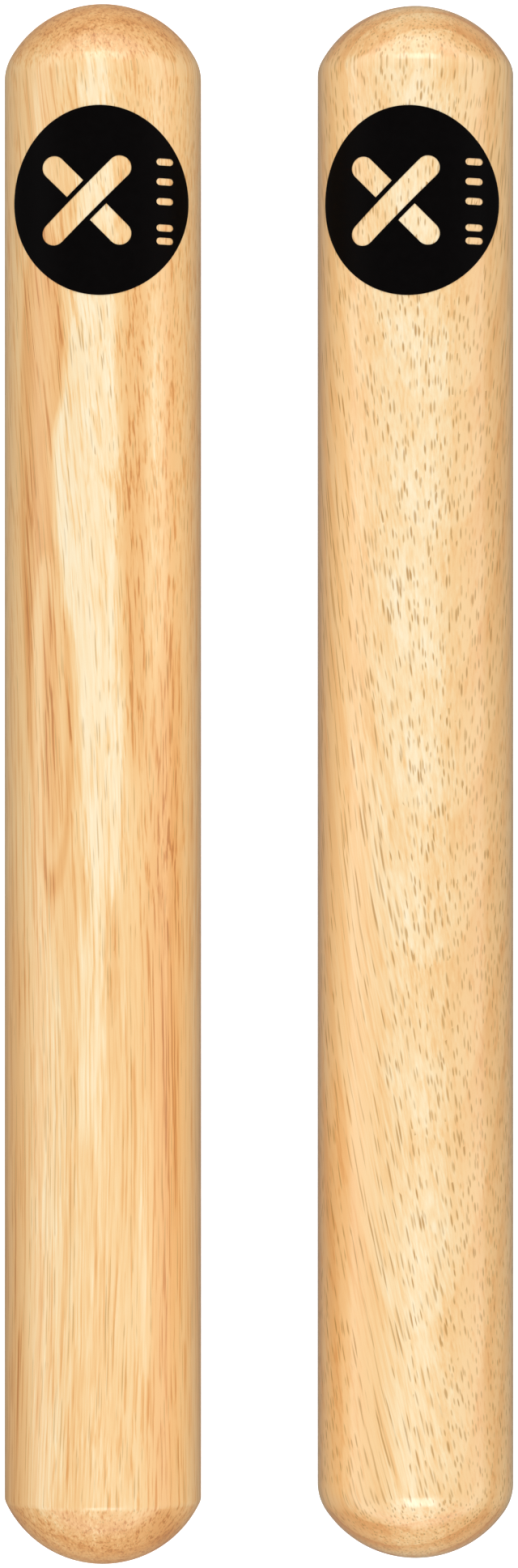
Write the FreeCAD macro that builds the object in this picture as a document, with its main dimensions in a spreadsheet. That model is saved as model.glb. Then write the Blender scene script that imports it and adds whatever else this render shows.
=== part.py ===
import FreeCAD, Part
import math
import os
import Sketcher

# Claves: two turned hardwood sticks lying side by side on a flat surface. The held clave rests in
# one hand and the striking clave is knocked against it. Each stick carries one printed film mark.
#
# Frame: millimetres, +Z up, both sticks along Y. The origin is on the surface the sticks lie on,
# under the middle of the pair. "far" is the +Y end of a stick, which carries the mark, and "near"
# is its -Y end.

# Driving dimensions: alias, value in millimetres or degrees, meaning.
DIMENSIONS = [
    ("held_length", 203.2, "held stick, end to end: eight inches"),
    ("held_diameter", 25.6, "held stick's shaft: one inch and a little"),
    ("held_far_crown", 13.8, "held stick, radius of the far end's crown"),
    ("held_far_shoulder", 6.0, "held stick, rounding between the far crown and the shaft"),
    ("held_near_crown", 14.0, "held stick, radius of the near end's crown"),
    ("held_near_shoulder", 1.8, "held stick, rounding between the near crown and the shaft"),
    ("striking_length", 202.2, "striking stick, end to end"),
    ("striking_diameter", 25.5, "striking stick's shaft"),
    ("striking_far_crown", 14.0, "striking stick, radius of the far end's crown"),
    ("striking_far_shoulder", 4.0, "striking stick, rounding at the far crown"),
    ("striking_near_crown", 14.1, "striking stick, radius of the near end's crown"),
    ("striking_near_shoulder", 6.3, "striking stick, rounding at the near crown"),
    ("axis_spacing", 40.75, "between the two sticks' axes as they lie"),
    ("striking_shift", 0.27, "striking stick's middle, past the held stick's middle"),
    ("mark_from_middle", 75.1, "mark's centre, from the middle of the pair"),
    ("mark_half_width", 11.3, "mark's half width, across the stick, seen from above"),
    ("mark_half_length", 12.22, "mark's half length, along the stick"),
    ("film_thickness", 0.05, "printed film's thickness"),
    ("film_wrap", 150.0, "arc of film that the mark's outline is cut from"),
    ("held_mark_turn", -0.6, "held stick's mark, turned about the stick's axis"),
    ("striking_mark_turn", -5.5, "striking stick's mark, turned about the stick's axis"),
    ("emblem_shift", -1.7, "crossed sticks' middle, from the mark's centre"),
    ("emblem_reach", 4.25, "from the crossing to each rounded end's centre, across and along"),
    ("emblem_stick_radius", 1.5, "half the width of each crossed stick"),
    ("emblem_gap", 0.6, "film left between the upper stick and the lower one"),
    ("bar_shift", 8.3, "row of bars, from the mark's centre"),
    ("bar_half_length", 0.6, "from a bar's middle to each rounded end's centre"),
    ("bar_radius", 0.45, "half the width of a bar"),
    ("pulse_spacing", 0.85, "one pulse of the rhythm that the bars show"),
]

# The five strokes of the son clave rhythm, counted in pulses. They space the bars of the emblem.
STROKES = (0, 3, 6, 10, 12)
MIDDLE_PULSE = 6

START, END, CENTRE = 1, 2, 3     # a sketch element's points
ORIGIN = (-1, 1)                 # a sketch's own origin
UPRIGHT_AXIS = -2                # a sketch's own vertical axis

doc = FreeCAD.newDocument("claves")
sheet = doc.addObject("Spreadsheet::Sheet", "Sizes")


def fill_sheet():
    for row, (alias, value, meaning) in enumerate(DIMENSIONS, start=1):
        sheet.set(f"A{row}", meaning)
        sheet.set(f"B{row}", str(value))
        sheet.setAlias(f"B{row}", alias)
    doc.recompute()


def size(expression):
    """The number that an expression on the sheet's aliases stands for."""
    return float(sheet.evalExpression(expression))


def new_sketch(body, plane, name):
    """An empty sketch on one of the body's own origin planes."""
    sketch = body.newObject("Sketcher::SketchObject", name)
    planes = [f for f in body.Origin.OriginFeatures if f.Role == plane]
    sketch.AttachmentSupport = [(planes[0], "")]
    sketch.MapMode = "FlatFace"
    return sketch


def drive(sketch, name, expression, kind, *points):
    """Adds a dimension between points, and binds it to the sheet."""
    constraint = Sketcher.Constraint(kind, *points, size(expression))
    index = sketch.addConstraint(constraint)
    sketch.renameConstraint(index, name)
    sketch.setExpression("Constraints." + name, expression)


def place(body, x, y, z, turn=None):
    """Binds the body's place, and its turn about Y, to the sheet."""
    body.Placement = FreeCAD.Placement(FreeCAD.Vector(), FreeCAD.Rotation(FreeCAD.Vector(0, 1, 0), 0))
    body.setExpression("Placement.Base.x", x)
    body.setExpression("Placement.Base.y", y)
    body.setExpression("Placement.Base.z", z)
    if turn:
        body.Placement.Rotation = FreeCAD.Rotation(FreeCAD.Vector(0, 1, 0), size(turn))
        body.setExpression("Placement.Rotation.Angle", turn)


def arc(centre, radius, first, last):
    """An arc anticlockwise from one angle to the other, in radians."""
    circle = Part.Circle(centre, FreeCAD.Vector(0, 0, 1), radius)
    return Part.ArcOfCircle(circle, first, last)


# ---- Sticks -------------------------------------------------------------------------------------


def end_arcs(radius, half_length, crown, shoulder, side):
    """One end's crown and shoulder arcs, at the +Y end where side is 1 and the -Y end where it is
    -1, and where the shoulder meets the shaft. The shoulder is tangent to both."""
    rise = math.sqrt((crown - shoulder) ** 2 - (radius - shoulder) ** 2)
    crown_centre = FreeCAD.Vector(0, side * (half_length - crown), 0)
    shoulder_centre = FreeCAD.Vector(radius - shoulder, side * (half_length - crown + rise), 0)
    joint = math.atan2(rise, radius - shoulder)
    if side > 0:
        crown_arc = arc(crown_centre, crown, joint, math.pi / 2)
        shoulder_arc = arc(shoulder_centre, shoulder, 0, joint)
    else:
        crown_arc = arc(crown_centre, crown, -math.pi / 2, -joint)
        shoulder_arc = arc(shoulder_centre, shoulder, -joint, 0)
    return crown_arc, shoulder_arc, FreeCAD.Vector(radius, shoulder_centre.y, 0)


def make_stick(which, x, y):
    """A round stick, turned about its own axis: half its outline, revolved."""
    body = doc.addObject("PartDesign::Body", which + "_clave_stick")
    sketch = new_sketch(body, "XY_Plane", which + "_half_outline")

    radius = f"Sizes.{which}_diameter / 2"
    half_length = f"Sizes.{which}_length / 2"
    ends = {}
    for end, side in (("near", -1), ("far", 1)):
        crown = size(f"Sizes.{which}_{end}_crown")
        shoulder = size(f"Sizes.{which}_{end}_shoulder")
        ends[end] = end_arcs(size(radius), size(half_length), crown, shoulder, side)
    near_crown_arc, near_shoulder_arc, near_corner = ends["near"]
    far_crown_arc, far_shoulder_arc, far_corner = ends["far"]

    near_crown = sketch.addGeometry(near_crown_arc)
    near_shoulder = sketch.addGeometry(near_shoulder_arc)
    shaft = sketch.addGeometry(Part.LineSegment(near_corner, far_corner))
    far_shoulder = sketch.addGeometry(far_shoulder_arc)
    far_crown = sketch.addGeometry(far_crown_arc)
    axis = sketch.addGeometry(Part.LineSegment(far_crown_arc.EndPoint, near_crown_arc.StartPoint))

    for first, second in (
        (near_crown, near_shoulder),
        (near_shoulder, shaft),
        (shaft, far_shoulder),
        (far_shoulder, far_crown),
    ):
        sketch.addConstraint(Sketcher.Constraint("Tangent", first, END, second, START))
    sketch.addConstraint(Sketcher.Constraint("Coincident", far_crown, END, axis, START))
    sketch.addConstraint(Sketcher.Constraint("Coincident", axis, END, near_crown, START))
    for element, point in (
        (near_crown, CENTRE),
        (near_crown, START),
        (far_crown, CENTRE),
        (far_crown, END),
    ):
        sketch.addConstraint(Sketcher.Constraint("PointOnObject", element, point, UPRIGHT_AXIS))
    sketch.addConstraint(Sketcher.Constraint("Vertical", shaft))

    drive(sketch, "shaft_radius", radius, "DistanceX", *ORIGIN, shaft, START)
    drive(sketch, "far_half", half_length, "DistanceY", *ORIGIN, far_crown, END)
    drive(sketch, "near_half", half_length, "DistanceY", near_crown, START, *ORIGIN)
    drive(sketch, "near_crown", f"Sizes.{which}_near_crown", "Radius", near_crown)
    drive(sketch, "near_shoulder", f"Sizes.{which}_near_shoulder", "Radius", near_shoulder)
    drive(sketch, "far_shoulder", f"Sizes.{which}_far_shoulder", "Radius", far_shoulder)
    drive(sketch, "far_crown", f"Sizes.{which}_far_crown", "Radius", far_crown)

    turned = body.newObject("PartDesign::Revolution", which + "_turned_stick")
    turned.Profile = sketch
    turned.ReferenceAxis = (sketch, ["V_Axis"])
    turned.Angle = 360
    place(body, x, y, radius)
    return body


# ---- Printed marks ------------------------------------------------------------------------------


def add_rectangle(sketch, half_x, low_y, high_y):
    """A rectangle about the sketch's upright axis, its three dimensions bound to the sheet."""
    left, right = -size(half_x), size(half_x)
    corners = [
        FreeCAD.Vector(left, size(low_y), 0),
        FreeCAD.Vector(right, size(low_y), 0),
        FreeCAD.Vector(right, size(high_y), 0),
        FreeCAD.Vector(left, size(high_y), 0),
    ]
    sides = [
        sketch.addGeometry(Part.LineSegment(corners[i], corners[(i + 1) % 4])) for i in range(4)
    ]
    for i in range(4):
        following = sides[(i + 1) % 4]
        sketch.addConstraint(Sketcher.Constraint("Coincident", sides[i], END, following, START))
        direction = "Horizontal" if i % 2 == 0 else "Vertical"
        sketch.addConstraint(Sketcher.Constraint(direction, sides[i]))
    drive(sketch, "left_side", half_x, "DistanceX", sides[0], START, *ORIGIN)
    drive(sketch, "right_side", half_x, "DistanceX", *ORIGIN, sides[0], END)
    drive(sketch, "low_side", low_y, "DistanceY", *ORIGIN, sides[0], START)
    drive(sketch, "high_side", high_y, "DistanceY", *ORIGIN, sides[1], END)


def add_ellipse(sketch, half_x, half_y):
    """An upright ellipse about the sketch's origin, its two half axes bound to the sheet."""
    top = FreeCAD.Vector(0, size(half_y), 0)
    side = FreeCAD.Vector(size(half_x), 0, 0)
    ellipse = sketch.addGeometry(Part.Ellipse(top, side, FreeCAD.Vector()))
    sketch.exposeInternalGeometry(ellipse)
    major, minor = ellipse + 1, ellipse + 2
    sketch.addConstraint(Sketcher.Constraint("Coincident", ellipse, CENTRE, *ORIGIN))
    sketch.addConstraint(Sketcher.Constraint("Vertical", major))
    drive(sketch, "whole_length", f"2 * {half_y}", "Distance", major)
    drive(sketch, "whole_width", f"2 * {half_x}", "Distance", minor)


def add_round_end(sketch, centre, radius, outward):
    """A half circle that bulges along the outward angle."""
    return sketch.addGeometry(arc(centre, radius, outward - math.pi / 2, outward + math.pi / 2))


def drive_point(sketch, name, element, point, x, y):
    drive(sketch, name + "_x", x, "DistanceX", *ORIGIN, element, point)
    drive(sketch, name + "_y", y, "DistanceY", *ORIGIN, element, point)


def add_slot(sketch, name, start, end, radius):
    """A slot with round ends. start and end are the x and y expressions of its end centres.
    Returns its first round end and both straight sides, the low one first."""
    a = FreeCAD.Vector(size(start[0]), size(start[1]), 0)
    b = FreeCAD.Vector(size(end[0]), size(end[1]), 0)
    heading = math.atan2(b.y - a.y, b.x - a.x)
    half = size(radius)
    first = add_round_end(sketch, a, half, heading + math.pi)
    last = add_round_end(sketch, b, half, heading)
    beside = FreeCAD.Vector(math.sin(heading), -math.cos(heading), 0) * half
    low = sketch.addGeometry(Part.LineSegment(a + beside, b + beside))
    high = sketch.addGeometry(Part.LineSegment(b - beside, a - beside))
    loop = (first, low, last, high)
    for i in range(4):
        sketch.addConstraint(Sketcher.Constraint("Tangent", loop[i], END, loop[(i + 1) % 4], START))
    drive_point(sketch, name + "_start", first, CENTRE, *start)
    drive_point(sketch, name + "_end", last, CENTRE, *end)
    drive(sketch, name + "_radius", radius, "Radius", first)
    return first, low, high


def add_stub(sketch, name, centre, side, like_end, beside_line, gap):
    """A slot with one round end, cut off square beside another slot's straight side. side is 1
    where the stub lies up and to the left of that slot, and -1 on its other side."""
    outward = side * FreeCAD.Vector(-1, 1, 0).normalize()
    across = FreeCAD.Vector(outward.y, -outward.x, 0)
    half = size("Sizes.emblem_stick_radius")
    middle = FreeCAD.Vector(size("Sizes.emblem_shift"), 0, 0) + outward * (half + size(gap))
    point = FreeCAD.Vector(size(centre[0]), size(centre[1]), 0)
    end = add_round_end(sketch, point, half, math.atan2(outward.y, outward.x))
    down = sketch.addGeometry(Part.LineSegment(point - across * half, middle - across * half))
    cut = sketch.addGeometry(Part.LineSegment(middle - across * half, middle + across * half))
    back = sketch.addGeometry(Part.LineSegment(middle + across * half, point + across * half))
    sketch.addConstraint(Sketcher.Constraint("Tangent", end, END, down, START))
    sketch.addConstraint(Sketcher.Constraint("Coincident", down, END, cut, START))
    sketch.addConstraint(Sketcher.Constraint("Coincident", cut, END, back, START))
    sketch.addConstraint(Sketcher.Constraint("Tangent", back, END, end, START))
    sketch.addConstraint(Sketcher.Constraint("Perpendicular", down, cut))
    sketch.addConstraint(Sketcher.Constraint("Perpendicular", cut, back))
    sketch.addConstraint(Sketcher.Constraint("Parallel", cut, beside_line))
    sketch.addConstraint(Sketcher.Constraint("Equal", end, like_end))
    drive_point(sketch, name, end, CENTRE, *centre)
    drive(sketch, name + "_gap", gap, "Distance", cut, START, beside_line)


def add_emblem(sketch):
    """The openings in the mark: two crossed sticks, and five bars spaced as the strokes of the
    rhythm. One crossed stick lies over the other, which shows as two stubs."""
    reach = "Sizes.emblem_reach"
    left = f"Sizes.emblem_shift - {reach}"
    right = f"Sizes.emblem_shift + {reach}"
    upper_end, lower_side, upper_side = add_slot(
        sketch, "upper_stick", (left, f"-{reach}"), (right, reach), "Sizes.emblem_stick_radius"
    )
    gap = "Sizes.emblem_gap"
    add_stub(sketch, "left_stub", (left, reach), 1, upper_end, upper_side, gap)
    add_stub(sketch, "right_stub", (right, f"-{reach}"), -1, upper_end, lower_side, gap)
    for stroke in STROKES:
        along = f"{MIDDLE_PULSE - stroke} * Sizes.pulse_spacing"
        start = ("Sizes.bar_shift - Sizes.bar_half_length", along)
        end = ("Sizes.bar_shift + Sizes.bar_half_length", along)
        add_slot(sketch, f"bar_{stroke}", start, end, "Sizes.bar_radius")


def cut_through(body, sketch, name):
    """Cuts the sketch's areas upwards through the film. Stops if nothing is cut."""
    before = body.Shape.Volume
    pocket = body.newObject("PartDesign::Pocket", name)
    pocket.Profile = sketch
    pocket.Type = "ThroughAll"
    pocket.Reversed = True
    doc.recompute()
    if not 0 < pocket.Shape.Volume < before:
        raise RuntimeError(name + " cuts nothing")


def make_mark(which, x):
    """A printed film on the shaft's upper side: an oval of ink with the emblem left open."""
    body = doc.addObject("PartDesign::Body", which + "_clave_mark")
    radius = f"Sizes.{which}_diameter / 2"

    section = new_sketch(body, "YZ_Plane", which + "_film_section")
    outer = f"{radius} + Sizes.film_thickness"
    add_rectangle(section, "Sizes.mark_half_length + 1", radius, outer)
    film = body.newObject("PartDesign::Revolution", which + "_film")
    film.Profile = section
    film.ReferenceAxis = (section, ["H_Axis"])
    film.Midplane = True
    film.setExpression("Angle", "Sizes.film_wrap")
    doc.recompute()

    surround = new_sketch(body, "XY_Plane", which + "_mark_outline")
    beyond = "Sizes.mark_half_length + 2"
    add_rectangle(surround, outer, f"-({beyond})", beyond)
    add_ellipse(surround, "Sizes.mark_half_width", "Sizes.mark_half_length")
    cut_through(body, surround, which + "_mark_trimmed")

    emblem = new_sketch(body, "XY_Plane", which + "_emblem")
    add_emblem(emblem)
    cut_through(body, emblem, which + "_emblem_opened")

    place(body, x, "Sizes.mark_from_middle", radius, f"Sizes.{which}_mark_turn")
    return body


# ---- Assembly -----------------------------------------------------------------------------------


def check(parts):
    """Stops the build if any object failed, a sketch is loose, or a part isn't one sound solid."""
    for item in doc.Objects:
        if "Invalid" in item.State or "Error" in item.State:
            raise RuntimeError(f"{item.Name} is {item.State}")
        if item.TypeId == "Sketcher::SketchObject" and item.solve() != 0:
            raise RuntimeError(item.Name + " doesn't solve")
    for part in parts:
        if part.Shape.isNull() or not part.Shape.isValid() or len(part.Shape.Solids) != 1:
            raise RuntimeError(part.Label + " isn't one valid solid")


def main():
    fill_sheet()
    half_width = "(Sizes.held_diameter / 2 + Sizes.axis_spacing + Sizes.striking_diameter / 2) / 2"
    held_x = f"Sizes.held_diameter / 2 - {half_width}"
    striking_x = f"{half_width} - Sizes.striking_diameter / 2"
    parts = [
        make_stick("held", held_x, "0"),
        make_stick("striking", striking_x, "Sizes.striking_shift"),
        make_mark("held", held_x),
        make_mark("striking", striking_x),
    ]
    doc.recompute()
    check(parts)
    os.makedirs("parts", exist_ok=True)
    for part in parts:
        part.Shape.exportStep(f"parts/{part.Label}.step")
        print(f"{part.Label}: {part.Shape.Volume:.2f} mm3, {part.Shape.BoundBox}")


main()
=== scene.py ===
import math

import bmesh
import bpy
from mathutils import Matrix, Vector


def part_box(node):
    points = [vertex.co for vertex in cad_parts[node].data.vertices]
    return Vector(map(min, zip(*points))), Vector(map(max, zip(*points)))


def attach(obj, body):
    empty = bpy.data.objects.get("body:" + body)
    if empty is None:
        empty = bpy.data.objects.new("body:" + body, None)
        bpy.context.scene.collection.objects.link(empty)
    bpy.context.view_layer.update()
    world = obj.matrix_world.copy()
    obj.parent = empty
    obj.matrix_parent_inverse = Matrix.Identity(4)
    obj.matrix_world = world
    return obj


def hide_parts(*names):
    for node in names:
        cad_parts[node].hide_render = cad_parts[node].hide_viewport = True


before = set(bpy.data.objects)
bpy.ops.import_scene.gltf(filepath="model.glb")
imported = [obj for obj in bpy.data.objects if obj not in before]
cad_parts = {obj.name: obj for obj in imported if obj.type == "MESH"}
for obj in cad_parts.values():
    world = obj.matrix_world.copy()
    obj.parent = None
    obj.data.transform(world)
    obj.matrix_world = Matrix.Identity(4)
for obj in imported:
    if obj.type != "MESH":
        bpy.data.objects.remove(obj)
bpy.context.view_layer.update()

MM = 0.001
FAR, NEAR = 1, -1                      # the +Y end, which carries the mark, and the -Y end

# End shapes of the turned sticks, in metres: the crown's radius, and the radius of the shoulder
# between the crown and the straight shaft.
ENDS = {
    "held": {FAR: (13.8 * MM, 6.0 * MM), NEAR: (14.0 * MM, 1.8 * MM)},
    "striking": {FAR: (14.0 * MM, 4.0 * MM), NEAR: (14.1 * MM, 6.3 * MM)},
}
MARK_TURN = {"held": math.radians(-0.6), "striking": math.radians(-5.5)}

MARK_HALF_WIDTH = 11.3 * MM
FILM_THICKNESS = 0.05 * MM
EMBLEM_SHIFT = -1.7 * MM
EMBLEM_REACH = 4.25 * MM
EMBLEM_RADIUS = 1.5 * MM
EMBLEM_GAP = 0.6 * MM
BAR_SHIFT = 8.3 * MM
BAR_HALF_LENGTH = 0.6 * MM
BAR_RADIUS = 0.45 * MM
PULSE = 0.85 * MM
STROKES = (0, 3, 6, 10, 12)            # the son clave rhythm's strokes, in pulses
MIDDLE_PULSE = 6

AROUND = 192                           # faces round a stick
SHAFT_RINGS = 180
CROWN_RINGS = 44
SHOULDER_RINGS = 14
APEX_RADIUS = 0.0001 * MM              # a ring smaller than this is one point
FIGURE_FADE = 3 * MM                   # the figure fades out this far above and below the axis
FILM_STRIP = 0.35 * MM                 # width of the strips that bend the film round a stick
WELD = 0.001 * MM                      # points of the film nearer than this are one
CUT_SNAP = 0.0001 * MM                 # a cut this near to a point goes through it
SHARP_ANGLE = math.radians(30)


class Stick:
    """One stick's place and size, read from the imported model."""

    def __init__(self, which):
        self.which = which
        self.body = which + "_clave"
        low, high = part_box(self.body + "_stick")
        self.x = (low.x + high.x) / 2
        self.z = (low.z + high.z) / 2
        self.radius = (high.z - low.z) / 2
        self.near, self.far = low.y, high.y
        low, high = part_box(self.body + "_mark")
        self.mark_y = (low.y + high.y) / 2
        self.mark_half_length = (high.y - low.y) / 2


def smooth(low, high, value):
    """0 below low, 1 above high, and a smooth step between."""
    share = min(max((value - low) / (high - low), 0.0), 1.0)
    return share * share * (3 - 2 * share)


def bump(centre, half_width, softness, value):
    """1 near the centre and 0 far from it. It falls smoothly from half_width - softness away to
    half_width + softness away."""
    return 1 - smooth(half_width - softness, half_width + softness, abs(value - centre))


def follow(points, value):
    """A smooth line through a few (place, height) points, level beyond its ends."""
    if value <= points[0][0]:
        return points[0][1]
    for (place, height), (next_place, next_height) in zip(points, points[1:]):
        if value <= next_place:
            return height + (next_height - height) * smooth(place, next_place, value)
    return points[-1][1]


# ---- Grain figure and painted light -------------------------------------------------------------
# The broad figure of each stick's wood, in millimetres: across is the distance to the right of the
# stick's axis, along is the distance past its middle towards the far end. 1 is the palest cream
# sapwood and -1 the deepest orange. Painted light is mixed in: the paler middle down the striking
# stick's top is partly a painted highlight, and deeper orange along both sticks' flanks is partly
# painted shade.

# The held stick's cream band: (along, across) points of its two edges, and (along, strength).
CREAM_LEFT_EDGE = [(-60, -2.0), (-20, -1.9), (-3, -2.4), (7, -2.7), (17, -3.6), (26, -5.0),
                   (33, -5.9), (44, -6.1), (52, -4.8), (62, -3.6), (95, -2.9)]
CREAM_RIGHT_EDGE = [(-60, -0.4), (-24, 0.2), (-13, 2.0), (-3, 2.7), (10, 2.7), (18, 2.0), (95, 1.5)]
CREAM_STRENGTH = [(-50, 0.15), (-22, 0.35), (-8, 0.9), (10, 1.0), (88, 1.0), (97, 0.2)]
LEFT_EDGE_BLUR = 0.9
RIGHT_EDGE_BLUR = (1.0, 1.2)           # inwards and outwards

# Patches: strength, middle across, half width, near end, far end, and what lens takes besides.
TONGUE_PATCHES = [
    (-0.95, -6.9, 3.3, -14.5, 74, {"lean": -0.02, "softness": 0.12, "bluntness": 2.5}),
    (0.75, -6.7, 2.3, -11.5, 30, {"lean": -0.02, "softness": 0.15, "bluntness": 2.5}),
    (-0.45, -6.5, 1.0, -8, 24, {"lean": -0.02, "softness": 0.3, "bluntness": 2.5}),
    (-0.45, 4.3, 1.7, 2, 70, {"softness": 0.6}),
]
# The darker ones from 8 to 12 mm to either side are painted shade over the wood's orange: they
# deepen the orange where the sides turn from the light.
HELD_PATCHES_AND_PAINTED_SHADE = [
    (-0.5, 1.9, 0.45, -27, -16, {"softness": 0.6}),
    (-0.35, 9.0, 1.2, -60, 96, {"softness": 0.8}),
    (0.4, 7.0, 0.9, 20, 60, {"softness": 0.8}),
    (0.45, -1.8, 1.6, -46, -16, {"softness": 0.7}),
    (0.45, 5.6, 0.9, -78, -42, {"lean": 0.01, "softness": 0.6}),
    (-0.5, -11.4, 2.0, -104, -12, {"softness": 0.5}),
    (-0.25, -11.6, 1.8, -12, 100, {"softness": 0.5}),
    (-0.25, 3.2, 2.0, -90, -35, {"softness": 0.9}),
    (-0.45, 8.0, 2.6, -104, 14, {"softness": 0.7}),
    (0.25, -6.3, 2.2, -102, -24, {"softness": 0.7}),
    (0.2, -1.5, 6.5, -100, -22, {"softness": 0.6}),
    (-0.08, 7.0, 3.5, -20, 62, {"softness": 0.7}),
]
# The two that run the whole length near the flanks are painted shade over the wood's orange.
STRIKING_PATCHES_AND_PAINTED_SHADE = [
    (-0.40, -8.5, 3.2, -104, -40, {"lean": -0.03, "softness": 0.7}),
    (-0.45, 9.6, 4.0, -104, 100, {"softness": 0.8}),
    (-0.20, -11.8, 2.5, -104, 100, {"softness": 0.6}),
]


def lens(across, along, middle, half_width, low, high, lean=0.0, softness=0.35, bluntness=6):
    """A long patch: 1 inside and 0 outside. lean is how far it drifts to the right per millimetre
    towards the far end. A bluntness of 2 makes it an ellipse, and more makes its ends squarer."""
    centre_along = (low + high) / 2
    side = (across - middle - lean * (along - centre_along)) / half_width
    length = (along - centre_along) / ((high - low) / 2)
    return 1 - smooth(1 - softness, 1 + softness, math.sqrt(side * side + abs(length) ** bluntness))


def patches(across, along, rows):
    """All the rows' patches together at one place."""
    total = 0.0
    for strength, middle, half_width, low, high, shape in rows:
        total += strength * lens(across, along, middle, half_width, low, high, **shape)
    return total


def held_figure_and_painted_shade(across, along):
    """A cream band of sapwood down the middle, beside an orange tongue with an arched near end.
    Patches along the flanks deepen the orange there as painted shade.
    """
    left = follow(CREAM_LEFT_EDGE, along)
    right = follow(CREAM_RIGHT_EDGE, along)
    inwards, outwards = RIGHT_EDGE_BLUR
    past_left = smooth(left - LEFT_EDGE_BLUR, left + LEFT_EDGE_BLUR, across)
    inside = past_left * (1 - smooth(right - inwards, right + outwards, across))
    value = inside * follow(CREAM_STRENGTH, along)
    value += patches(across, along, TONGUE_PATCHES) * (1 - inside)
    return value + patches(across, along, HELD_PATCHES_AND_PAINTED_SHADE)


def striking_figure_and_painted_light(across, along):
    """An even cream down the middle, turning orange to the right and towards the near left. The pale
    middle is partly the wood and partly a painted highlight where light falls on the top, and the
    orange flanks are partly painted shade.
    """
    value = 0.45 * bump(-1.0, 6.5, 4.5, across) * (0.75 + 0.25 * smooth(-40, 20, along))
    value += 0.25 * bump(0.0, 3.0, 3.0, across) * (1 - 0.6 * bump(-25, 20, 15, along))
    return value + patches(across, along, STRIKING_PATCHES_AND_PAINTED_SHADE)


FIGURES_AND_PAINTED_LIGHT = {"held": held_figure_and_painted_shade, "striking": striking_figure_and_painted_light}


# ---- Stick meshes -------------------------------------------------------------------------------


def end_outline(stick, side):
    """Half of one end's outline from its apex to the shaft: (y, radius, how far it faces +Y)."""
    crown, shoulder = ENDS[stick.which][side]
    apex = stick.far if side == FAR else stick.near
    rise = math.sqrt((crown - shoulder) ** 2 - (stick.radius - shoulder) ** 2)
    crown_y = apex - side * crown
    shoulder_y = crown_y + side * rise
    joint = math.atan2(rise, stick.radius - shoulder)
    rings = []
    for i in range(CROWN_RINGS):
        angle = math.pi / 2 + (joint - math.pi / 2) * i / CROWN_RINGS
        rings.append((crown_y + side * crown * math.sin(angle), crown * math.cos(angle),
                      side * math.sin(angle)))
    for i in range(SHOULDER_RINGS + 1):
        angle = joint * (1 - i / SHOULDER_RINGS)
        radius = stick.radius - shoulder + shoulder * math.cos(angle)
        rings.append((shoulder_y + side * shoulder * math.sin(angle), radius,
                      side * math.sin(angle)))
    return rings


def outline(stick):
    """The whole half outline, from the near apex to the far apex."""
    near = end_outline(stick, NEAR)
    far = end_outline(stick, FAR)[::-1]
    start, stop = near[-1][0], far[0][0]
    shaft = []
    for i in range(1, SHAFT_RINGS):
        shaft.append((start + (stop - start) * i / SHAFT_RINGS, stick.radius, 0.0))
    return near + shaft + far


def make_stick(stick, material):
    """The turned stick: its outline carried round its axis, with the grain figure and its painted
    light on its points.
    """
    figure_and_painted_light = FIGURES_AND_PAINTED_LIGHT[stick.which]
    middle = (stick.near + stick.far) / 2
    points, figure_and_painted_light_values, facings, rings = [], [], [], []
    for y, radius, facing in outline(stick):
        count = AROUND if radius > APEX_RADIUS else 1
        ring = []
        for j in range(count):
            turn = 2 * math.pi * j / AROUND
            across, up = radius * math.sin(turn), radius * math.cos(turn)
            ring.append(len(points))
            points.append((stick.x + across, y, stick.z + up))
            upper_side = smooth(-FIGURE_FADE, FIGURE_FADE, up)
            figure_and_painted_light_values.append(upper_side * figure_and_painted_light(across / MM, (y - middle) / MM))
            facings.append(facing)
        rings.append(ring)
    faces = []
    for low, high in zip(rings, rings[1:]):
        for j in range(AROUND):
            following = (j + 1) % AROUND
            if len(low) == 1:
                faces.append((low[0], high[j], high[following]))
            elif len(high) == 1:
                faces.append((low[j], high[0], low[following]))
            else:
                faces.append((low[j], high[j], high[following], low[following]))
    mesh = bpy.data.meshes.new(stick.which + "_turned_wood")
    mesh.from_pydata(points, [], faces)
    mesh.polygons.foreach_set("use_smooth", [True] * len(mesh.polygons))
    for name, values in (("figure_and_painted_light", figure_and_painted_light_values), ("facing", facings)):
        attribute = mesh.attributes.new(name, "FLOAT", "POINT")
        attribute.data.foreach_set("value", values)
    mesh.materials.append(material)
    mesh.update()
    piece = bpy.data.objects.new(stick.which + "_turned_wood", mesh)
    bpy.context.scene.collection.objects.link(piece)
    return piece


# ---- Printed marks ------------------------------------------------------------------------------


def ellipse_points(half_x, half_y, count=144):
    turns = [2 * math.pi * i / count for i in range(count)]
    return [(half_x * math.cos(t), half_y * math.sin(t)) for t in turns]


def arc_points(centre, radius, start, stop, count=20):
    turns = [start + (stop - start) * i / count for i in range(count + 1)]
    return [(centre[0] + radius * math.cos(t), centre[1] + radius * math.sin(t)) for t in turns]


def slot_points(start, end, radius):
    """A slot with two round ends."""
    heading = math.atan2(end[1] - start[1], end[0] - start[0])
    quarter = math.pi / 2
    first = arc_points(start, radius, heading + quarter, heading + 3 * quarter)
    last = arc_points(end, radius, heading - quarter, heading + quarter)
    return first + last


def stub_points(centre, cut_distance, radius, side):
    """A slot with one round end, cut off square at a distance from the emblem's crossing."""
    outward = Vector((-side, side)).normalized()
    across = Vector((outward.y, -outward.x))
    heading = math.atan2(outward.y, outward.x)
    quarter = math.pi / 2
    cut = Vector((EMBLEM_SHIFT, 0.0)) + outward * cut_distance
    corners = [tuple(cut - across * radius), tuple(cut + across * radius)]
    return arc_points(centre, radius, heading - quarter, heading + quarter) + corners


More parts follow.
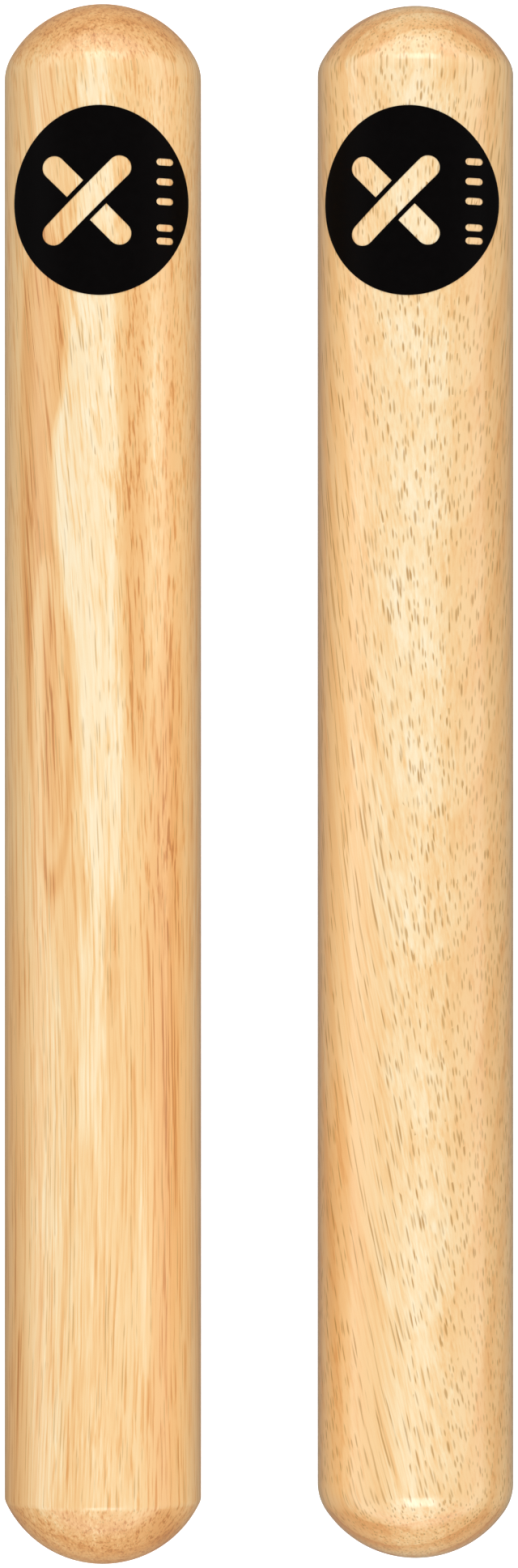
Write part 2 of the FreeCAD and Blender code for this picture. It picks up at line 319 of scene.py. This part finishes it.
def mark_outlines(half_length):
    """The mark's outlines seen from above: the oval, then the emblem's openings."""
    left, right = EMBLEM_SHIFT - EMBLEM_REACH, EMBLEM_SHIFT + EMBLEM_REACH
    cut = EMBLEM_RADIUS + EMBLEM_GAP
    outlines = [
        ellipse_points(MARK_HALF_WIDTH, half_length),
        slot_points((left, -EMBLEM_REACH), (right, EMBLEM_REACH), EMBLEM_RADIUS),
        stub_points((left, EMBLEM_REACH), cut, EMBLEM_RADIUS, 1),
        stub_points((right, -EMBLEM_REACH), cut, EMBLEM_RADIUS, -1),
    ]
    for stroke in STROKES:
        y = (MIDDLE_PULSE - stroke) * PULSE
        start, end = (BAR_SHIFT - BAR_HALF_LENGTH, y), (BAR_SHIFT + BAR_HALF_LENGTH, y)
        outlines.append(slot_points(start, end, BAR_RADIUS))
    return outlines


def flat_sheet(outlines):
    """A flat mesh of the area inside the first outline and outside the others."""
    curve = bpy.data.curves.new("outline", "CURVE")
    curve.dimensions = "2D"
    curve.fill_mode = "BOTH"
    for outline_points in outlines:
        spline = curve.splines.new("POLY")
        spline.points.add(len(outline_points) - 1)
        for point, (x, y) in zip(spline.points, outline_points):
            point.co = (x, y, 0.0, 1.0)
        spline.use_cyclic_u = True
    holder = bpy.data.objects.new("outline", curve)
    bpy.context.scene.collection.objects.link(holder)
    bpy.context.view_layer.update()
    mesh = bpy.data.meshes.new_from_object(holder)
    bpy.data.objects.remove(holder)
    bpy.data.curves.remove(curve)
    return mesh


def cut_into_strips(bm):
    """Cuts a flat sheet along Y, so that it can bend round a stick."""
    strips = int(MARK_HALF_WIDTH / FILM_STRIP)
    for i in range(-strips, strips + 1):
        geometry = bm.verts[:] + bm.edges[:] + bm.faces[:]
        bmesh.ops.bisect_plane(bm, geom=geometry, dist=CUT_SNAP, plane_co=(i * FILM_STRIP, 0, 0),
                               plane_no=(1, 0, 0))


def close_below(bm):
    """Gives an open sheet a second sheet under it and walls round its rims. Returns the lower
    sheet's vertices."""
    if sum(face.normal.z for face in bm.faces) < 0:
        bmesh.ops.reverse_faces(bm, faces=bm.faces)
    top = bm.faces[:]
    rim = [edge for edge in bm.edges if len(edge.link_faces) == 1]
    copy = bmesh.ops.duplicate(bm, geom=bm.verts[:] + bm.edges[:] + top)
    twin = copy["vert_map"]
    under = [item for item in copy["geom"] if isinstance(item, bmesh.types.BMFace)]
    walls = []
    for edge in rim:
        loop = edge.link_loops[0]
        a, b = loop.vert, loop.link_loop_next.vert
        walls.append((b, a, twin[a], twin[b]))
    for corners in walls:
        bm.faces.new(corners)
    bmesh.ops.reverse_faces(bm, faces=under)
    return {twin[vertex] for face in top for vertex in face.verts}


def make_mark(stick, material):
    """The printed film: the flat mark, given its thickness and laid on the shaft's upper side."""
    mesh = flat_sheet(mark_outlines(stick.mark_half_length))
    bm = bmesh.new()
    bm.from_mesh(mesh)
    bmesh.ops.remove_doubles(bm, verts=bm.verts, dist=WELD)
    cut_into_strips(bm)
    lower = close_below(bm)
    for vertex in bm.verts:
        radius = stick.radius + (0.0 if vertex in lower else FILM_THICKNESS)
        vertex.co.z = math.sqrt(radius * radius - vertex.co.x ** 2)
    place = Matrix.Translation((stick.x, stick.mark_y, stick.z))
    bm.transform(place @ Matrix.Rotation(MARK_TURN[stick.which], 4, "Y"))
    bm.to_mesh(mesh)
    bm.free()
    mesh.name = stick.which + "_printed_mark"
    mesh.polygons.foreach_set("use_smooth", [True] * len(mesh.polygons))
    mesh.set_sharp_from_angle(angle=SHARP_ANGLE)
    mesh.materials.clear()
    mesh.materials.append(material)
    piece = bpy.data.objects.new(stick.which + "_printed_mark", mesh)
    bpy.context.scene.collection.objects.link(piece)
    return piece


# ---- Materials ----------------------------------------------------------------------------------


class Graph:
    """A material's or world's nodes, made by short calls. A value is a number, a tuple or another
    socket."""

    def __init__(self, owner):
        owner.use_nodes = True
        self.tree = owner.node_tree
        self.tree.nodes.clear()

    def add(self, kind, inputs=None, **settings):
        node = self.tree.nodes.new(kind)
        for name, value in settings.items():
            setattr(node, name, value)
        for key, value in (inputs or {}).items():
            self.feed(node.inputs[key], value)
        return node

    def feed(self, socket, value):
        if isinstance(value, bpy.types.NodeSocket):
            self.tree.links.new(value, socket)
        else:
            socket.default_value = value

    def math(self, operation, *values, clamp=False):
        inputs = dict(enumerate(values))
        return self.add("ShaderNodeMath", inputs, operation=operation, use_clamp=clamp).outputs[0]

    def vector(self, x, y, z=0.0):
        return self.add("ShaderNodeCombineXYZ", {0: x, 1: y, 2: z}).outputs[0]

    def noise(self, vector, scale=1.0, detail=2.0, roughness=0.5):
        """Noise about zero, roughly from -0.5 to 0.5."""
        inputs = {"Vector": vector, "Scale": scale, "Detail": detail, "Roughness": roughness}
        node = self.add("ShaderNodeTexNoise", inputs, noise_dimensions="3D")
        return self.math("SUBTRACT", node.outputs["Fac"], 0.5)

    def step(self, value, low, high, to_low=0.0, to_high=1.0):
        """A smooth step from to_low to to_high, as the value goes from low to high."""
        inputs = {"Value": value, "From Min": low, "From Max": high, "To Min": to_low,
                  "To Max": to_high}
        node = self.add("ShaderNodeMapRange", inputs, interpolation_type="SMOOTHSTEP")
        return node.outputs["Result"]

    def blend(self, share, first, second):
        """The first colour, going over to the second as the share goes from 0 to 1."""
        node = self.add("ShaderNodeMix", data_type="RGBA")
        factor, a, b = node.inputs[0], node.inputs[6], node.inputs[7]
        for socket, value in ((factor, share), (a, first), (b, second)):
            self.feed(socket, value)
        return node.outputs[2]

    def ramp(self, value, stops):
        node = self.add("ShaderNodeValToRGB", {"Fac": value})
        elements = node.color_ramp.elements
        while len(elements) < len(stops):
            elements.new(0.5)
        for element, (place, stop_colour) in zip(elements, stops):
            element.position = place
            element.color = stop_colour
        return node.outputs["Color"]

    def attribute(self, name):
        node = self.add("ShaderNodeAttribute", attribute_type="GEOMETRY", attribute_name=name)
        return node.outputs["Fac"]

    def surface(self, inputs):
        shader = self.add("ShaderNodeBsdfPrincipled", inputs)
        self.add("ShaderNodeOutputMaterial", {"Surface": shader.outputs[0]})


def colour(red, green, blue):
    """A display colour, 0 to 255, as the linear colour that shaders take."""
    def linear(level):
        share = level / 255
        return share / 12.92 if share <= 0.04045 else ((share + 0.055) / 1.055) ** 2.4
    return (linear(red), linear(green), linear(blue), 1.0)


WHITE = (1.0, 1.0, 1.0, 1.0)

# The wood's colours by tone, from 0, the deepest orange, to 1, the palest cream.
WOOD_STOPS = [
    (0.0, colour(198, 128, 64)),
    (0.2, colour(225, 158, 88)),
    (0.4, colour(240, 186, 120)),
    (0.6, colour(247, 206, 147)),
    (0.8, colour(251, 223, 175)),
    (1.0, colour(254, 238, 204)),
]
PORE_COLOUR = colour(186, 136, 66)
# Where the figure is cream this includes the painted highlight down the striking stick's top, and
# where it is orange the painted shade along the flanks.
CREAM_TONE = 0.27                      # added to the tone where the figure is cream
ORANGE_TONE = -0.24                    # and where it is orange
LACQUER_IOR = 1.5

# How each stick's wood differs:
# - tilt and rise: how far the fibres drift to the right and upwards per millimetre towards the far
#   end, as a constant and a part that grows along the stick. wobble: how far they stray from that.
# - base: the middle tone. broad, streak, fibre, line and rings: how strongly each kind of grain
#   changes it. end_tone: what is added on the domes. lines_across and lines_along: how fine the
#   lines' noise is across and along the grain, in cells per millimetre.
# - pore_spacing and pore_radius in millimetres, the share of pores that is open, and their strength.
# - coat and coat_roughness: the lacquer. seed: moves the noise along the stick.
WOODS = {
    "held": {
        "tilt": (-0.04, -0.0004), "rise": (-0.035, -0.0004), "wobble": 0.2,
        "base": 0.63, "broad": 0.15, "streak": 0.38, "fibre": 0.48, "line": 0.28, "rings": 0.04,
        "end_tone": -0.31, "lines_across": 2.9, "lines_along": 0.035,
        "pore_spacing": 0.43, "pore_radius": 0.08, "pore_share": 0.8, "pore_strength": 0.62,
        "coat": 0.6, "coat_roughness": 0.2, "seed": 3.0,
    },
    "striking": {
        "tilt": (-0.11, 0.0008), "rise": (-0.15, -0.0003), "wobble": 0.22,
        "base": 0.66, "broad": 0.16, "streak": 0.20, "fibre": 0.22, "line": 0.12, "rings": 0.09,
        "end_tone": -0.28, "lines_across": 2.1, "lines_along": 0.07,
        "pore_spacing": 0.46, "pore_radius": 0.122, "pore_share": 0.92, "pore_strength": 0.88,
        "coat": 0.9, "coat_roughness": 0.14, "seed": 11.0,
    },
}

# How the fibres wander: cells per millimetre across and along the stick, and how far they go, in
# millimetres, or None for the wood's own wobble.
WANDERS = [(0.12, 0.02, 1.6), (0.9, 0.03, None), (0.35, 0.16, None)]

PITH = (-9.0, -46.0)                   # the tree's centre, from the stick's axis, in millimetres
RING_SPACING = 3.1
RINGS_ON_DOMES = 1.2                   # how much more the growth rings show there
PORES_LOST_IN_LATE_WOOD = 0.4


def place_in_stick(g, stick):
    """Where a point is, in millimetres from the stick's middle: across, along and up."""
    place = g.add("ShaderNodeTexCoord").outputs["Object"]
    centre = (stick.x, 0.0, stick.z)
    centred = g.add("ShaderNodeVectorMath", {0: place, 1: centre}, operation="SUBTRACT").outputs[0]
    scaled = g.add("ShaderNodeVectorMath", {0: centred, "Scale": 1 / MM}, operation="SCALE")
    return g.add("ShaderNodeSeparateXYZ", {0: scaled.outputs[0]}).outputs


def follow_fibre(g, kind, across, along, up):
    """Where the fibre through a point crosses the stick's middle: its place across and up."""
    def drift(constant, growth):
        slope = g.math("MULTIPLY_ADD", along, growth, constant)
        return g.math("MULTIPLY", along, slope)

    def wander(crosswise, lengthwise, reach, shift):
        vector = g.vector(g.math("MULTIPLY", across, crosswise),
                          g.math("MULTIPLY_ADD", along, lengthwise, shift),
                          g.math("MULTIPLY", up, crosswise))
        return g.math("MULTIPLY", g.noise(vector, detail=1.0), reach)

    crossing = []
    for place, direction, shifts in ((across, "tilt", (0, 13, 23)), (up, "rise", (7, 17, 29))):
        value = g.math("SUBTRACT", place, drift(*kind[direction]))
        for (crosswise, lengthwise, reach), shift in zip(WANDERS, shifts):
            reach = reach or kind["wobble"]
            value = g.math("ADD", value, wander(crosswise, lengthwise, reach, shift))
        crossing.append(value)
    return crossing


def late_wood(g, u, v):
    """The growth rings about the pith: 1 in a ring's late wood, falling off sharply outwards."""
    from_pith_u = g.math("SUBTRACT", u, PITH[0])
    from_pith_v = g.math("SUBTRACT", v, PITH[1])
    squared = g.math("ADD", g.math("MULTIPLY", from_pith_u, from_pith_u),
                     g.math("MULTIPLY", from_pith_v, from_pith_v))
    year = g.math("FRACT", g.math("DIVIDE", g.math("SQRT", squared), RING_SPACING))
    return g.math("MULTIPLY", g.step(year, 0.25, 0.9), g.step(year, 0.93, 1.0, 1.0, 0.0))


def open_pores(g, kind, u, v, along, late):
    """1 in a pore and 0 between. Pores are thin tubes along the fibres, each with its own size and
    depth, closed here and there along its length. Late wood has fewer."""
    spacing, radius, share = kind["pore_spacing"], kind["pore_radius"], kind["pore_share"]
    inputs = {"Vector": g.vector(u, v), "Scale": 1 / spacing, "Randomness": 1.0}
    cells = g.add("ShaderNodeTexVoronoi", inputs, voronoi_dimensions="2D", feature="F1")
    chance = g.add("ShaderNodeSeparateColor", {0: cells.outputs["Color"]}).outputs
    distance = g.math("MULTIPLY", cells.outputs["Distance"], spacing)
    own_radius = g.math("MULTIPLY_ADD", chance[0], 0.7 * radius, 0.6 * radius)
    pore = g.step(g.math("DIVIDE", distance, own_radius), 0.5, 1.3, 1.0, 0.0)
    open_share = g.math("MULTIPLY_ADD", late, -PORES_LOST_IN_LATE_WOOD * share, share)
    opened = g.math("LESS_THAN", chance[2], open_share)
    depth = g.math("MULTIPLY_ADD", chance[1], 0.5, 0.5)
    run = g.vector(g.math("MULTIPLY", chance[1], 60.0), g.math("MULTIPLY", along, 0.16))
    broken = g.step(g.noise(run, detail=1.0), -0.12, 0.0)
    return g.math("MULTIPLY", g.math("MULTIPLY", pore, g.math("MULTIPLY", opened, depth)), broken)


def wood(stick):
    """Lacquered wood, solid through the stick: fibres, streaks, pores and growth rings all run
    along a slightly drifting grain, so the domed ends show them as end grain."""
    kind = WOODS[stick.which]
    material = bpy.data.materials.new(stick.which + "_lacquered_wood")
    g = Graph(material)
    across, along, up = place_in_stick(g, stick)
    u, v = follow_fibre(g, kind, across, along, up)

    def grain(crosswise, lengthwise, detail, shift):
        vector = g.vector(g.math("MULTIPLY", u, crosswise),
                          g.math("MULTIPLY_ADD", along, lengthwise, shift + kind["seed"]),
                          g.math("MULTIPLY", v, crosswise))
        return g.noise(vector, detail=detail, roughness=0.55)

    broad = grain(0.16, 0.01, 1.0, 0.0)
    streak = grain(0.75, 0.03, 3.0, 20.0)
    fibre = grain(3.4, 0.10, 3.0, 40.0)
    line = g.step(grain(kind["lines_across"], kind["lines_along"], 3.0, 60.0), 0.0, 0.18)
    late = late_wood(g, u, v)
    on_dome = g.step(g.math("ABSOLUTE", g.attribute("facing")), 0.2, 0.8)

    # The grain makes the figure's edges ragged.
    figure_and_painted_light = g.attribute("figure_and_painted_light")
    ragged = g.math("MULTIPLY_ADD", streak, 0.7, g.math("MULTIPLY", fibre, 0.8))
    # The cream mask carries the painted highlight down the striking stick's top as well as the
    # wood's cream, and the orange mask carries the painted shade along the flanks as well as the
    # wood's orange.
    cream_and_painted_sheen = g.step(g.math("ADD", figure_and_painted_light, ragged), 0.1, 0.9)
    orange_and_painted_shade = g.step(g.math("SUBTRACT", ragged, figure_and_painted_light), 0.05, 0.75)

    tone = g.math("MULTIPLY_ADD", cream_and_painted_sheen, CREAM_TONE, kind["base"])
    tone = g.math("MULTIPLY_ADD", orange_and_painted_shade, ORANGE_TONE, tone)
    for grain_kind, name in ((broad, "broad"), (streak, "streak"), (fibre, "fibre")):
        tone = g.math("MULTIPLY_ADD", grain_kind, kind[name], tone)
    line_strength = g.math("MULTIPLY_ADD", orange_and_painted_shade, 0.5 * kind["line"], kind["line"])
    tone = g.math("SUBTRACT", tone, g.math("MULTIPLY", line, line_strength))
    ring_strength = g.math("MULTIPLY_ADD", on_dome, RINGS_ON_DOMES * kind["rings"], kind["rings"])
    tone = g.math("SUBTRACT", tone, g.math("MULTIPLY", late, ring_strength))
    tone = g.math("MULTIPLY_ADD", on_dome, kind["end_tone"], tone, clamp=True)

    pore = open_pores(g, kind, u, v, along, late)
    pore_share = g.math("MULTIPLY", pore, kind["pore_strength"])
    coloured = g.blend(pore_share, g.ramp(tone, WOOD_STOPS), PORE_COLOUR)
    relief = g.math("MULTIPLY_ADD", pore, -0.6, g.math("MULTIPLY", fibre, 0.25))
    bump_inputs = {"Strength": 0.2, "Distance": 0.05 * MM, "Height": relief}
    g.surface({
        "Base Color": coloured,
        "Roughness": g.math("MULTIPLY_ADD", fibre, 0.2, 0.42),
        "Normal": g.add("ShaderNodeBump", bump_inputs).outputs[0],
        "Coat Weight": kind["coat"],
        "Coat Roughness": kind["coat_roughness"],
        "Coat IOR": LACQUER_IOR,
    })
    return material


def ink():
    """Black printing ink with a faint unevenness in its tint and gloss."""
    material = bpy.data.materials.new("printed_ink")
    g = Graph(material)
    place = g.add("ShaderNodeTexCoord").outputs["Object"]
    uneven = g.noise(place, scale=900.0, detail=3.0)
    tint = g.math("MULTIPLY_ADD", uneven, 0.6, 0.5, clamp=True)
    black = g.blend(tint, colour(4, 3, 3), colour(9, 7, 7))
    roughness = g.math("MULTIPLY_ADD", uneven, 0.15, 0.45)
    g.surface({"Base Color": black, "Roughness": roughness, "Specular IOR Level": 0.03})
    return material


def white_floor():
    """A white sheet that glows evenly, so that only a soft shadow shows beside the sticks."""
    material = bpy.data.materials.new("white_floor")
    Graph(material).surface({
        "Base Color": (0.8, 0.8, 0.8, 1.0),
        "Roughness": 0.9,
        "Specular IOR Level": 0.0,
        "Emission Color": WHITE,
        "Emission Strength": 0.8,
    })
    return material


# ---- Studio -------------------------------------------------------------------------------------

CAMERA_DISTANCE = 0.93                 # to the sticks' axes
PICTURE_MARGIN = 1.006                 # the picture's height over the longer stick's length
SENSOR = 36.0                          # the camera's sensor, in millimetres
FLOOR_HALF_SIZE = 6.0

# Softboxes: name, tilt from overhead towards +Y in degrees, length across the sticks, width.
SOFTBOXES = [("far_softbox", 52, 0.9, 0.42), ("near_softbox", -33, 0.8, 0.42)]
SOFTBOX_POWER = 4.8                    # watts
SOFTBOX_DISTANCE = 1.2
SOFTBOX_SHIFT = 0.03                   # towards +X

# The sky's brightness.
OVERHEAD, HORIZON, BELOW = 0.28, 1.78, 0.2
SKY_LEVELS = [(0.0, BELOW), (0.14, HORIZON), (0.34, (HORIZON + OVERHEAD) / 2), (0.7, OVERHEAD)]
SKY_END_GAIN = 0.5                     # how much brighter it is beyond the sticks' two ends


def make_floor():
    size = FLOOR_HALF_SIZE
    mesh = bpy.data.meshes.new("floor")
    corners = [(-size, -size, 0), (size, -size, 0), (size, size, 0), (-size, size, 0)]
    mesh.from_pydata(corners, [], [(0, 1, 2, 3)])
    mesh.materials.append(white_floor())
    floor = bpy.data.objects.new("floor", mesh)
    bpy.context.scene.collection.objects.link(floor)
    floor.visible_diffuse = False
    floor.visible_glossy = False


def make_camera(stick):
    """Straight above the pair, with the far ends at the top of the picture."""
    data = bpy.data.cameras.new("camera")
    data.sensor_width = SENSOR
    data.lens = SENSOR * CAMERA_DISTANCE / ((stick.far - stick.near) * PICTURE_MARGIN)
    camera = bpy.data.objects.new("camera", data)
    camera.location = (0.0, 0.0, stick.z + CAMERA_DISTANCE)
    bpy.context.scene.collection.objects.link(camera)
    bpy.context.scene.camera = camera


def make_softbox(name, tilt, length, width):
    """A soft rectangular light, aimed at the pair."""
    data = bpy.data.lights.new(name, "AREA")
    data.shape = "RECTANGLE"
    data.size, data.size_y = length, width
    data.energy = SOFTBOX_POWER
    light = bpy.data.objects.new(name, data)
    turn = math.radians(tilt)
    towards = SOFTBOX_DISTANCE * math.sin(turn)
    height = SOFTBOX_DISTANCE * math.cos(turn)
    light.location = Vector((SOFTBOX_SHIFT, towards, height))
    light.rotation_euler = light.location.to_track_quat("Z", "Y").to_euler()
    light.visible_camera = False
    bpy.context.scene.collection.objects.link(light)


def make_sky():
    """Soft light from all round, brighter towards the horizon and beyond the two ends, and dim from
    below. The camera sees it white."""
    world = bpy.data.worlds.new("studio")
    bpy.context.scene.world = world
    g = Graph(world)
    direction = g.add("ShaderNodeTexCoord").outputs["Generated"]
    split = g.add("ShaderNodeSeparateXYZ", {0: direction}).outputs
    level = g.ramp(split["Z"], [(place, (grey, grey, grey, 1.0)) for place, grey in SKY_LEVELS])
    end_share = g.math("POWER", split["Y"], 2.0)
    strength = g.math("MULTIPLY", level, g.math("MULTIPLY_ADD", end_share, SKY_END_GAIN, 1.0))
    seen = g.add("ShaderNodeLightPath").outputs["Is Camera Ray"]
    light = {"Color": WHITE, "Strength": g.math("MAXIMUM", strength, seen)}
    background = g.add("ShaderNodeBackground", light).outputs[0]
    g.add("ShaderNodeOutputWorld", {"Surface": background})


def main():
    sticks = [Stick("held"), Stick("striking")]
    make_camera(sticks[0])
    printed = ink()
    for stick in sticks:
        turned = make_stick(stick, wood(stick))
        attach(turned, stick.body)
        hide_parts(stick.body + "_stick")
        mark = make_mark(stick, printed)
        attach(mark, stick.body)
        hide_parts(stick.body + "_mark")

    make_floor()
    for softbox in SOFTBOXES:
        make_softbox(*softbox)
    make_sky()
    bpy.context.scene.view_settings.view_transform = "Standard"


main()
